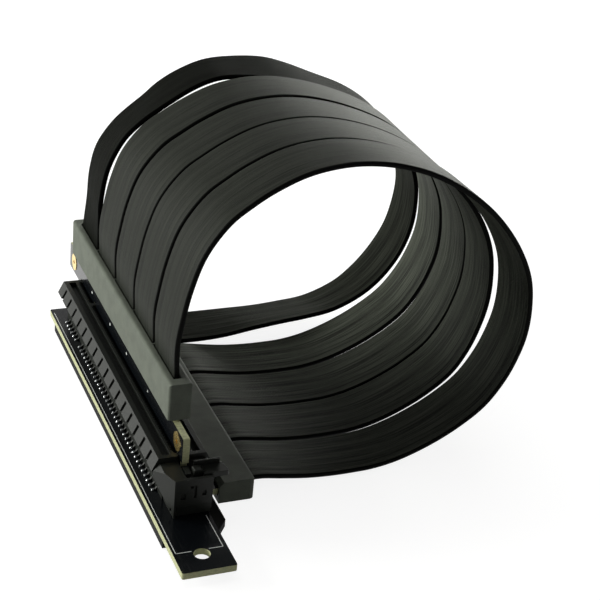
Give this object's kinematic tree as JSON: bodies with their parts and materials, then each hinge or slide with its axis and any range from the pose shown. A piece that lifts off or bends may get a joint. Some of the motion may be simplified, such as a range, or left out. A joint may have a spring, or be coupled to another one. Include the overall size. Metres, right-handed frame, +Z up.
{
  "type": "graphics card riser cable",
  "caption": "Flexible riser cable for a graphics card: a long card slot on a small board, and a plug board seated in it, joined by flat ribbons in a loop.",
  "frame": {"origin": "on the flat underside, below the middle of the card slot's row of contacts", "axes": "+Z up from the face that the riser lies on, +Y along the card slot towards contact 1, +X the side where the ribbons leave the slot board"},
  "size_m": [0.0981, 0.1288, 0.0821],
  "materials": {
    "solder_mask": "glossy black lacquer on glass fibre board",
    "housing_plastic": "satin moulded plastic",
    "mould_plastic": "fine matt texture",
    "ribbon_jacket": "matt jacket with fine lengthwise ridges",
    "pad_foam": "matt soft pad",
    "plated_gold": "plated"
  },
  "bodies": {
    "riser": {"underside_pad": "pad_foam", "slot_board": "solder_mask", "slot_housing": "housing_plastic", "slot_moulding": "mould_plastic", "plug_board": "solder_mask", "plug_moulding": "mould_plastic", "plated_eyelet_1": "plated_gold", "plated_eyelet_2": "plated_gold", "ribbon_1": "ribbon_jacket", "ribbon_2": "ribbon_jacket", "ribbon_3": "ribbon_jacket", "ribbon_4": "ribbon_jacket", "ribbon_5": "ribbon_jacket"},
    "latch": {"retention_latch": "housing_plastic"}
  },
  "joints": [
    {"name": "latch_pivot", "type": "hinge", "parent": "riser", "child": "latch", "pos_m": [0.0026, -0.0494, 0.0076], "axis": [0, 1, 0], "range_deg": [0, 25], "stiffness_Nm_per_rad": 0.01}
  ]
}
